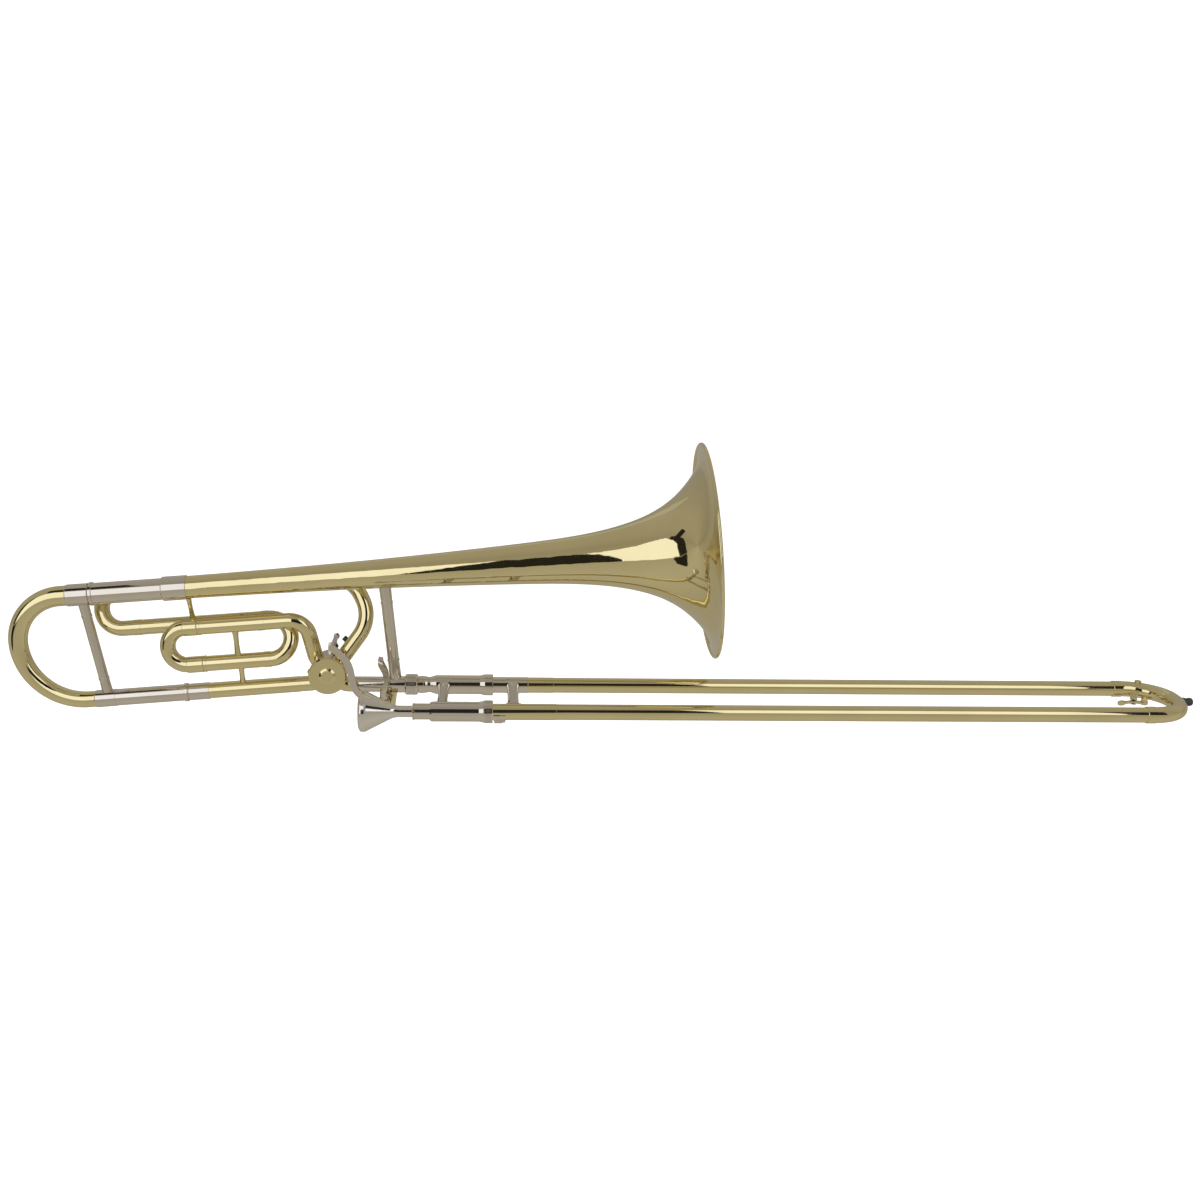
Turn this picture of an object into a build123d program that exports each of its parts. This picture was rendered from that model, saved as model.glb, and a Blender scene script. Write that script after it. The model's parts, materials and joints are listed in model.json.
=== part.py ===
from build123d import *
import math
import os

os.makedirs("parts", exist_ok=True)

# A tenor trombone with a rotary valve. +X runs along the hand slide towards its bow, +Z is up,
# and the bell and its neck lie in the plane y = 0. The origin is on the neck's axis, at the face
# of the lock nut, where the left hand holds the instrument. Millimetres and degrees throughout.

# --- the hand slide ---------------------------------------------------------------------------
SLIDE_SPACING = 85.0  # between the axes of the two long tubes
SLIDE_BOW_X = 741.0  # where the long tubes end and the bow begins
OUTER_TUBE_R = 7.6
OUTER_TUBE_BORE = 7.3
INNER_TUBE_R = 7.17
INNER_TUBE_BORE = 6.87
STOCKING_R = 7.25
STOCKING_LENGTH = 118.0
INNER_TUBE_END_X = 722.0
TUBE_TOP_R = 7.85  # the outer tubes are thicker at their top
TUBE_TOP_END_X = 149.5
SLEEVE_R = 8.05
SLEEVE_START_X = 62.0
SLEEVE_END_X = 123.8
BARREL_R = 9.55
BARREL_BORE = 8.7
SLIDE_BOW_R = 8.0
SLIDE_BOW_BORE = 7.3
SLIDE_BEND_R = 38.5  # of each of the bow's two bends
INNER_BRACE_X = 39.3
OUTER_BRACE_X = 108.3

# --- the bell ---------------------------------------------------------------------------------
TILT = 4.8  # slope of the bell's axis and of everything parallel to it
MOUTH_X = 302.5
MOUTH_Z = 141.8
MOUTH_R = 108.0
BELL_WALL = 0.6
BEAD_R = 1.8
WIRE_R = 1.1
BELL_STEM = 522.7  # length from the mouth to the stem's end
STEM_R = 11.1
# Distance behind the mouth and outer radius, from the stem's end to the rim.
BELL_OUTLINE = [
    (BELL_STEM, STEM_R), (420, 12.4), (330, 14.5), (260, 17.0), (190, 20.2), (146, 23.0),
    (105.5, 27.9), (81.5, 33.0), (57.5, 41.0), (37, 52.2), (17, 70.5), (6.5, 86.0),
]

# --- the main tuning slide --------------------------------------------------------------------
LOWER_LEG_X = -196.6  # a point on the lower leg's axis
LOWER_LEG_Z = -7.9
BOW_END_X = -378.5  # leftmost point of the bow's centre line
UPPER_BEND_R = 46.5
BOW_UPPER_R = 10.1
BOW_LOWER_R = 7.95
TUBE_WALL = 0.4

# --- the rotary valve -------------------------------------------------------------------------
VALVE_X = -75.4
VALVE_Z = 14.0
ROTOR_R = 15.9
ROTOR_CLEARANCE = 0.05
CASING_R = 17.6
CAP_R = 18.9
PORT_BORE = 6.0
KNUCKLE_R = 7.7
KNUCKLE_BEND_R = 14.0
LOOP_ELBOW = 14.0  # length of the loop's elbow beyond its corner
RETURN_ELBOW = 9.0
ROTOR_HALF = 9.5
SPINDLE_R = 4.0

# --- the F tubing -----------------------------------------------------------------------------
WRAP_R = 7.6
WRAP_BORE = 7.2
LOOP_Y = -8.0  # the near loop, which holds the F tuning slide
SECOND_Y = 8.8  # the tube behind it
BACK_Y = 25.0  # the tube behind the bell stem
LOOP_BEND_R = 18.95
LOOP_X = -214.5  # where the F tuning slide's bow begins

# --- the thumb lever and its linkage ----------------------------------------------------------
LEVER_PIVOT = (-17.2, -10.7)  # X, Z
LEVER_TIP = (-70.3, 43.6)  # X, Z of the bar that crosses over the valve
LEVER_TURN = 12.5  # the lever turns this far as the rotor turns a quarter
LEVER_FACE_Y = -22.4
LINK_LAYER_Y = 22.0
# X, Z of the strip's middle line, from the crossing bar round the cap and down to the pivot.
STRIP_LINE = [
    LEVER_TIP, (-62.6, 37.6), (-56.1, 29.6), (-52.1, 18.3), (-50.3, 7.5), (-44.6, -3.1),
    (-36.0, -8.2), LEVER_PIVOT,
]
# X, Z of the thumb piece's middle line, from the hub up to its tip.
HOOK_LINE = [
    (-17.2, -8.0), (-19.6, -1.5), (-17.9, 5.1), (-17.2, 12.3), (-18.6, 20.6), (-21.9, 27.2),
    (-22.6, 33.0),
]

# --- the mouthpiece ---------------------------------------------------------------------------
RIM_X = -38.5
RIM_R = 19.7
SHANK_END_X = 44.0


# --- frames and basic shapes ------------------------------------------------------------------
JOIN_GAP = 0.05  # a shorter run between two arcs is left out
COS_T = math.cos(math.radians(TILT))
SIN_T = math.sin(math.radians(TILT))
ALONG = Vector(COS_T, 0, SIN_T)  # along the bell's axis, towards its mouth
ACROSS = Vector(-SIN_T, 0, COS_T)


def tilted(x, y, z):
    """Place whose X axis is parallel to the bell's axis."""
    return Plane(origin=(x, y, z), x_dir=ALONG, z_dir=ACROSS).location


def level(y):
    """Place whose X axis is parallel to the hand slide, at this Y."""
    return Location((0, y, 0))


BELL = tilted(MOUTH_X, 0, MOUTH_Z)
LOWER_LEG = tilted(LOWER_LEG_X, 0, LOWER_LEG_Z)
NECK = level(0)
LEADPIPE = level(-SLIDE_SPACING)


def bell_s(x):
    """Station along the bell's axis, from the mouth, of the axis point at this X."""
    return (x - MOUTH_X) / COS_T


def leg_s(x):
    """The same for the lower leg, from its own reference point."""
    return (x - LOWER_LEG_X) / COS_T


def bell_point(s):
    """Point on the bell's axis, at this station."""
    return Vector(MOUTH_X + s * COS_T, 0, MOUTH_Z + s * SIN_T)


def leg_point(s, y=0.0):
    """Point on the lower leg's line, at this station."""
    return Vector(LOWER_LEG_X + s * COS_T, y, LOWER_LEG_Z + s * SIN_T)


def loop_z(x, z_at_loop):
    """Height at this X on a line parallel to the bell's axis, given its height at LOOP_X."""
    return z_at_loop + (x - LOOP_X) * SIN_T / COS_T


def turned(place, outline):
    """Body of revolution about the place's X axis, from (along, radius) corners."""
    face = make_face(Polyline(*outline, close=True))
    return place * revolve(face, axis=Axis.X)


def sleeve(place, start, end, outer, bore):
    """Straight tube along the place's X axis."""
    return turned(place, [(start, bore), (end, bore), (end, outer), (start, outer)])


def rod(start, end, radius):
    """Solid round bar between two points."""
    start = Vector(*start)
    run = Vector(*end) - start
    return extrude(Plane(origin=start, z_dir=run) * Circle(radius), amount=run.length)


def route(points, radii):
    """Straight runs joined by tangent arcs, with one radius for each corner."""
    spots = [Vector(*point) for point in points]
    edges = []
    start = spots[0]
    for before, corner, after, radius in zip(spots, spots[1:], spots[2:], radii):
        back = (before - corner).normalized()
        ahead = (after - corner).normalized()
        half = math.radians(back.get_angle(ahead)) / 2
        reach = radius / math.tan(half)
        centre = corner + (back + ahead).normalized() * (radius / math.sin(half))
        first = corner + back * reach
        last = corner + ahead * reach
        middle = centre - (back + ahead).normalized() * radius
        if (first - start).length > JOIN_GAP:
            edges.append(Line(start, first))
        else:
            first = start
        edges.append(ThreePointArc(first, middle, last))
        start = last
    if (spots[-1] - start).length > JOIN_GAP:
        edges.append(Line(start, spots[-1]))
    return Wire([edge.edge() for edge in edges])


def bent_bar(path, radius):
    """Solid round bar along a path."""
    return sweep(Plane(origin=path @ 0, z_dir=path % 0) * Circle(radius), path=path)


def bent_tube(path, outer, bore):
    """Tube along a path."""
    return bent_bar(path, outer) - bent_bar(path, bore)


def group(*solids):
    """Separate solids of one node."""
    return Compound(children=list(solids))


# --- the bell ---------------------------------------------------------------------------------
def bead_point(angle):
    """Point on the rolled rim's section, the angle measured from +X towards the outside."""
    turn = math.radians(angle)
    return (-BEAD_R + BEAD_R * math.cos(turn), MOUTH_R - BEAD_R + BEAD_R * math.sin(turn))


def bell_face():
    """Half section of the bell's wall and rolled rim, mouth at the origin, stem towards -X."""
    back_of_sheet = [(-distance, radius) for distance, radius in BELL_OUTLINE]
    inside = [(x - BELL_WALL * 0.45, radius - BELL_WALL) for x, radius in back_of_sheet[-3:]]
    inside = [(x, radius - BELL_WALL) for x, radius in back_of_sheet[:-3]] + inside
    back_end = bead_point(245)
    inside_end = bead_point(268)
    wall = make_face([
        Spline(*back_of_sheet, back_end),
        ThreePointArc(back_end, bead_point(76), inside_end),
        Spline(*inside, inside_end),
        Line(inside[0], back_of_sheet[0]),
    ])
    return wall - Pos(-BEAD_R, MOUTH_R - BEAD_R) * Circle(WIRE_R + 0.02)


def bell():
    return BELL * revolve(bell_face(), axis=Axis.X)


def bell_rim_wire():
    ring = Pos(-BEAD_R, MOUTH_R - BEAD_R) * Circle(WIRE_R)
    return BELL * revolve(ring, axis=Axis.X)


def bell_ferrule():
    """Wide ferrule that joins the stem to the tuning slide's receiver."""
    left = bell_s(-236.1)
    right = -BELL_STEM
    return turned(BELL, [
        (left, 10.7), (right, 10.7), (right, STEM_R), (right + 6, STEM_R + 0.08),
        (right + 6, 12.05), (left + 1, 12.05), (left, 11.3),
    ])


def tuning_receiver():
    """Outer tube on the bell side, with its end ring."""
    left = bell_s(-306.2)
    right = bell_s(-222.0)
    return turned(BELL, [
        (left, 10.3), (right, 10.3), (right, 10.7), (left + 3.6, 10.7), (left + 3.2, 11.6),
        (left + 0.5, 11.6), (left, 11.0),
    ])


# --- the lower leg and the neck ---------------------------------------------------------------
def gooseneck_slide_tube():
    """Inner tube of the lower leg, which the tuning slide's tube slides over."""
    return sleeve(LOWER_LEG, leg_s(-283.0), leg_s(-205.0), 7.75, 7.35)


def gooseneck_ferrule():
    left = leg_s(-214.2)
    right = leg_s(-194.2)
    return turned(LOWER_LEG, [
        (left, 7.75), (leg_s(-205.0), 7.75), (leg_s(-205.0), 7.9), (right, 7.9),
        (right, 8.4), (left + 0.5, 8.4), (left, 8.1),
    ])


def gooseneck_tube():
    return sleeve(LOWER_LEG, leg_s(-205.0), leg_s(-105.0), 7.9, 7.35)


def neck_tube():
    """Brass tube from the valve to the neck receiver."""
    return sleeve(NECK, -53.0, -8.0, 7.8, 7.35)


def neck_receiver():
    """Tapered receiver for the slide's tenon, threaded for the lock nut."""
    return turned(NECK, [
        (-20.0, 7.8), (-8.0, 7.8), (-8.0, 7.3), (7.5, 7.45), (7.5, 8.5),
        (0.4, 8.5), (0.4, 8.35), (-19.0, 8.35), (-20.0, 8.1),
    ])


def lock_nut():
    """Knurled nut that draws the slide's tenon into the neck receiver."""
    flutes = 48
    flute_r = 0.28
    left, right = 0.0, 13.0
    outer = 10.5
    body = turned(NECK, [
        (left, 8.6), (8.2, 8.6), (8.2, 9.2), (10.6, 9.2), (10.6, 8.0), (right, 8.0),
        (right, 8.9), (right - 0.5, 9.8), (right - 1.6, outer), (left + 1.6, outer),
        (left + 0.5, 9.8), (left, 8.9),
    ])
    flute = rod((left + 2.6, 0, outer + 0.12), (right - 2.6, 0, outer + 0.12), flute_r)
    cuts = [Rot(X=360 * turn / flutes) * flute for turn in range(flutes)]
    return body - cuts


# --- the main tuning slide --------------------------------------------------------------------
def upper_leg_end():
    """Point on the bell's axis where the upper ferrule of the bow ends."""
    return bell_point(bell_s(-326.5))


def lower_leg_end():
    return leg_point(leg_s(-304.4))


def bow_path():
    """Centre line of the bow, from the upper ferrule's end to the lower one's."""
    top = upper_leg_end()
    bottom = lower_leg_end()
    height = (top - bottom).dot(ACROSS)
    lower_bend_r = height - UPPER_BEND_R
    depth = (top - Vector(BOW_END_X, 0, 43.0)).dot(ALONG)
    far_top = top - ALONG * depth
    far_bottom = far_top - ACROSS * height
    return route([top, far_top, far_bottom, bottom], [UPPER_BEND_R - 0.005, lower_bend_r - 0.005])


def tapered(path, start_r, end_r):
    sections = [
        Plane(origin=path @ 0, z_dir=path % 0) * Circle(start_r),
        Plane(origin=path @ 1, z_dir=path % 1) * Circle(end_r),
    ]
    return sweep(sections, path=path, multisection=True)


def main_bow():
    path = bow_path()
    outside = tapered(path, BOW_UPPER_R, BOW_LOWER_R)
    inside = tapered(path, BOW_UPPER_R - TUBE_WALL, BOW_LOWER_R - TUBE_WALL)
    return outside - inside


def main_bow_ferrules():
    upper_left = bell_s(-328.3)
    upper_right = bell_s(-307.1)
    upper = turned(BELL, [
        (upper_left, BOW_UPPER_R + 0.03), (bell_s(-326.5), BOW_UPPER_R + 0.03),
        (bell_s(-326.5), 9.8),
        (upper_right, 9.8), (upper_right, 10.9), (upper_left + 0.6, 10.9), (upper_left, 10.6),
    ])
    lower_left = leg_s(-306.0)
    lower_right = leg_s(-286.1)
    lower = turned(LOWER_LEG, [
        (lower_left, BOW_LOWER_R + 0.06), (leg_s(-304.4), BOW_LOWER_R + 0.06),
        (leg_s(-304.4), 7.9),
        (leg_s(-290.0), 7.9), (leg_s(-290.0), 8.3), (lower_right, 8.3),
        (lower_right, 8.6), (lower_left + 0.6, 8.6), (lower_left, 8.3),
    ])
    return group(upper, lower)


def main_upper_slide_tube():
    """Inner tube on the bow's upper end, which runs in the receiver."""
    return sleeve(BELL, bell_s(-326.4), bell_s(-246.0), 9.8, 9.4) + sleeve(
        BELL, bell_s(-300.0), bell_s(-246.0), 10.25, 9.8)


def main_lower_slide_tube():
    """Outer tube on the bow's lower end, with its end ring."""
    left = leg_s(-290.0)
    right = leg_s(-215.0)
    return turned(LOWER_LEG, [
        (left, 7.8), (right, 7.8), (right, 9.0), (right - 0.5, 9.25), (right - 3.5, 9.25),
        (right - 4.0, 8.3), (left, 8.3),
    ])


def collared_post(start, end, radius, collar_r, collar_reach):
    """Round brace with a turned collar near each end and a wider foot beyond it."""
    start = Vector(*start)
    end = Vector(*end)
    run = (end - start).normalized()
    length = (end - start).length
    place = Plane(origin=start, x_dir=run, z_dir=(0, 1, 0)).location
    far = length - collar_reach
    return turned(place, [
        (0, 0), (length, 0), (length, collar_r), (far + 2.0, radius),
        (far + 2.0, collar_r), (far, collar_r), (far, radius),
        (collar_reach, radius), (collar_reach, collar_r),
        (collar_reach - 2.0, collar_r), (collar_reach - 2.0, radius),
        (0, collar_r),
    ])


def main_bow_brace():
    """Post across the tuning slide, from ferrule to ferrule, with a saddle on each."""
    top = (-314.2, 0, 86.0)
    bottom = (-293.8, 0, -13.0)
    post = collared_post(top, bottom, 4.85, 5.3, 19.0)
    upper_clear = rod(bell_point(bell_s(-345.0)), bell_point(bell_s(-285.0)), 10.9)
    lower_clear = rod(leg_point(leg_s(-325.0)), leg_point(leg_s(-265.0)), 8.6)
    return post - upper_clear - lower_clear


# --- the bell's own braces --------------------------------------------------------------------
def bell_solid():
    """The bell filled in, to trim what meets its outside."""
    outer = [(-distance, radius) for distance, radius in BELL_OUTLINE]
    face = make_face([Spline(*outer), Polyline(outer[-1], (-2.0, 0), (-BELL_STEM, 0), outer[0])])
    return BELL * revolve(face, axis=Axis.X)


def neck_solid():
    return sleeve(NECK, -60.0, 10.0, 7.8, 0.0) + sleeve(NECK, -20.0, 0.4, 8.35, 0.0)


def bell_brace():
    """Hand brace between the bell and the neck."""
    post = collared_post((-20.1, 0, 108.0), (-9.2, 0, 3.0), 5.7, 6.1, 24.0)
    return post - bell_solid() - neck_solid()


# --- the rotary valve -------------------------------------------------------------------------
PORT_ANGLES = {"neck": -45.0, "gooseneck": -135.0, "loop": 135.0, "return": 45.0}


def along_y(start, end, radius, x=VALVE_X, z=VALVE_Z):
    """Round bar along Y, on the valve's axis unless placed elsewhere."""
    return rod((x, start, z), (x, end, z), radius)


def radial(angle, distance, y=0.0):
    """Point at this distance from the valve's axis, the angle measured from +X towards +Z."""
    turn = math.radians(angle)
    return Vector(VALVE_X + distance * math.cos(turn), y, VALVE_Z + distance * math.sin(turn))


def port_corner(name, through, normal):
    """Where a port's radial line meets the plane of a straight tube's axis."""
    ray = radial(PORT_ANGLES[name], 1.0) - radial(PORT_ANGLES[name], 0.0)
    distance = (through - radial(0, 0)).dot(normal) / ray.dot(normal)
    return radial(PORT_ANGLES[name], distance)


def knuckles():
    """Port, corner and outer end of each elbow."""
    neck_corner = port_corner("neck", Vector(0, 0, 0), Vector(0, 0, 1))
    leg_corner = port_corner("gooseneck", leg_point(0), ACROSS)
    loop_corner = radial(PORT_ANGLES["loop"], 18.5)
    crook_corner = radial(PORT_ANGLES["return"], 18.5)
    loop_run = (loop_top_corner() - loop_corner).normalized()
    crook_run = (RETURN_CORNER - crook_corner).normalized()
    return [
        ("neck", neck_corner, Vector(-53.0, 0, 0)),
        ("gooseneck", leg_corner, leg_point(leg_s(-105.0))),
        ("loop", loop_corner, loop_corner + loop_run * LOOP_ELBOW),
        ("return", crook_corner, crook_corner + crook_run * RETURN_ELBOW),
    ]


def elbow_end(name):
    return next(knuckle[2] for knuckle in knuckles() if knuckle[0] == name)


def valve_knuckles():
    """Four bent elbows, soldered around the casing."""
    casing = along_y(-30, 30, CASING_R)
    solids = []
    for port, corner, end in knuckles():
        path = route([radial(PORT_ANGLES[port], 8.0), corner, end], [KNUCKLE_BEND_R])
        solids.append(bent_tube(path, KNUCKLE_R, 7.0) - casing)
    return group(*solids)


def valve_casing():
    """Barrel with its back wall, bored for the four ports and the rotor."""
    bore = ROTOR_R + ROTOR_CLEARANCE
    body = along_y(-16.0, 13.5, CASING_R) - along_y(-17.0, 10.5, bore)
    body -= along_y(9.0, 15.0, SPINDLE_R + 0.05)
    boss = along_y(13.5, 15.5, 6.2) - along_y(12.0, 16.5, SPINDLE_R + 0.05)
    body += boss
    for angle in PORT_ANGLES.values():
        body -= rod(radial(angle, 8.0), radial(angle, 22.0), 6.9)
    return body


def rotor():
    """Valve rotor with its two curved passages and both spindles."""
    body = along_y(-ROTOR_HALF, ROTOR_HALF, ROTOR_R)
    body += along_y(-14.0, -ROTOR_HALF, SPINDLE_R) + along_y(ROTOR_HALF, ARM_FRONT_Y, SPINDLE_R)
    reach = ROTOR_R + 4.0
    for side in (-90.0, 90.0):
        ends = [radial(side - 45, reach), radial(side + 45, reach)]
        passage = route([ends[0], radial(0, 0), ends[1]], [ROTOR_R])
        body -= bent_bar(passage, PORT_BORE)
    return body


def valve_bearing_plate():
    """Front bearing, which the cap holds in the casing."""
    return along_y(-13.4, -9.9, ROTOR_R) - along_y(-14.0, -9.0, SPINDLE_R + 0.05)


def valve_cap():
    """Screw cap over the bearing plate, with a low turned boss."""
    place = Plane(origin=(VALVE_X, -20.0, VALVE_Z), x_dir=(0, 1, 0), z_dir=(1, 0, 0)).location
    return turned(place, [
        (-1.3, 0), (-1.3, 6.0), (-1.0, 6.6), (0, 8.2), (0, 17.6), (1.2, CAP_R), (6.6, CAP_R),
        (7.4, 18.3), (7.4, 17.65), (4.0, 17.65), (4.0, 15.7), (6.5, 15.7), (6.5, 13.0),
        (3.4, 12.0), (3.4, 0),
    ])


# --- stop arm, link and thumb lever -----------------------------------------------------------
def linkage():
    """Radius and rest direction of the arm's pin, so that a quarter turn matches the lever."""
    reach_x = LEVER_TIP[0] - LEVER_PIVOT[0]
    reach_z = LEVER_TIP[1] - LEVER_PIVOT[1]
    reach = math.hypot(reach_x, reach_z)
    chord = 2 * reach * math.sin(math.radians(LEVER_TURN / 2))
    chord_angle = math.degrees(math.atan2(reach_z, reach_x)) - LEVER_TURN / 2 - 90
    return chord / math.sqrt(2), chord_angle - 90 - 45


ARM_R, ARM_REST = linkage()
LOBE_REST = 92.0  # direction of the stop lobe at rest, from +X towards +Z
LOBE_R = 21.5
ARM_BACK_Y = 20.0
ARM_FRONT_Y = 17.6


def stop_arm():
    """Arm on the rotor's back spindle: link boss below, stop lobe above, and its screw."""
    web = along_y(ARM_FRONT_Y, ARM_BACK_Y, 6.0)
    for end, radius in ((radial(ARM_REST, ARM_R), 2.8), (radial(LOBE_REST, LOBE_R), 2.4)):
        web += along_y(ARM_FRONT_Y, ARM_BACK_Y, radius, end.X, end.Z)
        web += flat_bar(radial(0, 0), end, 2 * radius, ARM_FRONT_Y, ARM_BACK_Y)
    screw = along_y(ARM_BACK_Y, 21.6, 3.0)
    slot = Pos(VALVE_X, 21.6, VALVE_Z) * Box(6.4, 1.2, 0.7)
    return group(web, screw - slot)


def flat_bar(start, end, width, y_start, y_end):
    """Flat bar between two points of the X-Z plane, from one Y to another."""
    run = Vector(end.X - start.X, 0, end.Z - start.Z)
    middle = Vector((start.X + end.X) / 2, (y_start + y_end) / 2, (start.Z + end.Z) / 2)
    place = Plane(origin=middle, x_dir=run.normalized(), z_dir=(0, 1, 0)).location
    return place * Box(run.length, width, y_end - y_start)


BUMPER_R = 2.3
BUMPER_SPOTS = [(LOBE_REST - 14.2, LOBE_R), (LOBE_REST + 90.0 + 14.2, LOBE_R)]


def stop_bumper_plate():
    """Brass carrier on the casing's back, with a cup for each bumper."""
    ring = along_y(13.5, 15.3, CASING_R) - along_y(13.0, 16.0, 12.0)
    sweep_angle = BUMPER_SPOTS[1][0] - BUMPER_SPOTS[0][0] + 34.0
    start = BUMPER_SPOTS[0][0] - 17.0
    wedge_r = 40.0
    corners = [radial(start + sweep_angle * k / 6, wedge_r) for k in range(7)]
    outline = [(VALVE_X, VALVE_Z)] + [(spot.X, spot.Z) for spot in corners]
    face = make_face(Polyline(*outline, close=True))
    wedge = Plane(origin=(0, 20, 0), x_dir=(1, 0, 0), z_dir=(0, -1, 0)).location
    plate = ring & (wedge * extrude(face, amount=12))
    for angle, distance in BUMPER_SPOTS:
        spot = radial(angle, distance)
        plate += along_y(13.5, 17.0, BUMPER_R + 0.9, spot.X, spot.Z)
        plate += flat_bar(radial(angle, 15.0), spot, 2 * BUMPER_R + 1.8, 13.5, 15.3)
        plate -= along_y(15.0, 18.0, BUMPER_R, spot.X, spot.Z)
    plate -= along_y(0, 13.5, CASING_R + 6.0)
    return plate


def stop_bumpers():
    """Rubber bumpers, two for the stop arm and one on the crook's post."""
    solids = []
    for angle, distance in BUMPER_SPOTS:
        spot = radial(angle, distance)
        solids.append(along_y(15.0, 20.6, BUMPER_R, spot.X, spot.Z))
    solids.append(rod(POST_TIP, POST_TIP + Vector(-2.6, 0, 2.6), 2.8))
    return group(*solids)


def link_rod():
    """Flat rod with an eye at each end; its lower screw ends short of the stop arm."""
    low = radial(ARM_REST, ARM_R)
    high = Vector(LEVER_TIP[0], 0, LEVER_TIP[1])
    front, back = LINK_LAYER_Y, LINK_LAYER_Y + 1.8
    body = flat_bar(low, high, 3.0, front, back)
    for spot in (low, high):
        body += along_y(front, back, 3.1, spot.X, spot.Z)
    body -= along_y(front - 1, back + 1, 1.25, high.X, high.Z)
    body += along_y(back, back + 1.2, 2.3, low.X, low.Z)
    return body + along_y(ARM_BACK_Y + 0.4, front, 1.2, low.X, low.Z)


def thumb_lever():
    """Strip round the valve cap, with its crossing bar, hub and thumb piece."""
    thick = 2.0
    back = LEVER_FACE_Y + thick
    x, z = LEVER_TIP
    face = Plane(origin=(0, LEVER_FACE_Y, 0), x_dir=(1, 0, 0), z_dir=(0, -1, 0)).location
    body = face * extrude(trace(Spline(*STRIP_LINE), 6.8), amount=-thick)
    body += along_y(LEVER_FACE_Y, back, 3.4, x, z)
    body += along_y(LEVER_FACE_Y, LINK_LAYER_Y - 0.3, 2.3, x, z)
    body += along_y(LINK_LAYER_Y - 0.3, LINK_LAYER_Y + 2.0, 1.2, x, z)
    body += along_y(LINK_LAYER_Y + 2.0, LINK_LAYER_Y + 3.0, 2.2, x, z)
    body += along_y(LEVER_FACE_Y, -12.4, 3.6, *LEVER_PIVOT)
    hook = Plane(origin=(0, LEVER_FACE_Y - 5.5, 0), x_dir=(1, 0, 0), z_dir=(0, -1, 0)).location
    thumb_piece = hook * extrude(trace(Spline(*HOOK_LINE), 4.6), amount=-13.5)
    body += thumb_piece - along_y(-18.6, -12.0, 5.3, *LEVER_PIVOT)  # clear of the spring
    return body - along_y(LEVER_FACE_Y - 9, -11.0, 1.56, *LEVER_PIVOT)


def lever_bracket():
    """Brass hinge block soldered under the neck, with the lever's pivot screw."""
    front = -11.8
    outline = [
        (-24.6, -21.5), (-9.6, -21.5), (-7.8, -7.0), (-7.0, -4.6), (-24.6, -4.6),
    ]
    face = make_face(Polyline(*outline, close=True))
    place = Plane(origin=(0, front, 0), x_dir=(1, 0, 0), z_dir=(0, -1, 0)).location
    block = place * extrude(face, amount=-7.5)
    block -= neck_solid()
    block -= along_y(front - 1, front + 6.0, 1.5, *LEVER_PIVOT)
    head = LEVER_FACE_Y - 6.0
    screw = along_y(head, front + 6.0, 1.5, *LEVER_PIVOT)
    screw += along_y(head - 1.3, head, 3.2, *LEVER_PIVOT)
    screw -= Pos(LEVER_PIVOT[0], head - 1.3, LEVER_PIVOT[1]) * Box(7.0, 1.0, 0.7)
    return group(block, screw)


def lever_spring():
    """Torsion spring round the lever's hub, drawn as its closed coil."""
    return along_y(-18.2, -13.0, 4.9, *LEVER_PIVOT) - along_y(-19.5, -12.5, 3.8, *LEVER_PIVOT)


POST_TIP = Vector(-59.3, 13.5, 42.3)


def crook_post():
    """Small brass post on the back of the return crook, which holds a bumper."""
    neck = POST_TIP + Vector(2.2, 0, -2.2)
    post = rod((-49.0, 9.0, 42.0), neck, 2.2) + rod(neck + Vector(0.6, 0, -0.6), POST_TIP, 3.4)
    return post - bent_bar(return_crook_path(), WRAP_R)


# --- the F tubing -----------------------------------------------------------------------------
LOOP_TOP_Z = loop_z(LOOP_X, 59.2)
LOOP_BOTTOM_Z = LOOP_TOP_Z - 2 * LOOP_BEND_R / COS_T
SECOND_Z = 58.9
BACK_Z_AT_VALVE = 105.0
BACK_X_AT_VALVE = -78.4
BACK_TUBE_X = -80.4
RETURN_CORNER = Vector(-33.6, 10.0, 66.0)


def on_line(x, y, z_at_loop):
    return Vector(x, y, loop_z(x, z_at_loop))


def loop_top_path():
    """From the fixed leg of the F tuning slide over to the valve's elbow."""
    start = on_line(-139.0, LOOP_Y, LOOP_TOP_Z)
    return route([start, loop_top_corner(), elbow_end("loop")], [19.0])


def loop_top_corner():
    return on_line(-97.4, LOOP_Y, LOOP_TOP_Z)


def return_crook_path():
    """From the valve's upper right port up behind the bell's stem."""
    over = Vector(-55.4, BACK_Y, 107.0)
    return route([elbow_end("return"), RETURN_CORNER, over, back_line(BACK_TUBE_X)], [35.0, 35.0])


def back_line(x):
    """Point on the tube behind the bell's stem."""
    z = BACK_Z_AT_VALVE + (x - BACK_X_AT_VALVE) * SIN_T / COS_T
    return Vector(x, BACK_Y, z)


FAR_CROOK_X = -300.2
FAR_CROOK_TOP_START = -279.0
FAR_CROOK_LOW_START = -263.7


def far_crook_path():
    """From the tube behind the stem round to the second tube of the wrap."""
    start = back_line(FAR_CROOK_TOP_START)
    end = on_line(FAR_CROOK_LOW_START, SECOND_Y, SECOND_Z)
    high = back_line(FAR_CROOK_X - 1.2)
    low = on_line(FAR_CROOK_X + 1.4, SECOND_Y, SECOND_Z)
    return route([start, high, low, end], [15.4, 21.3])


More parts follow.
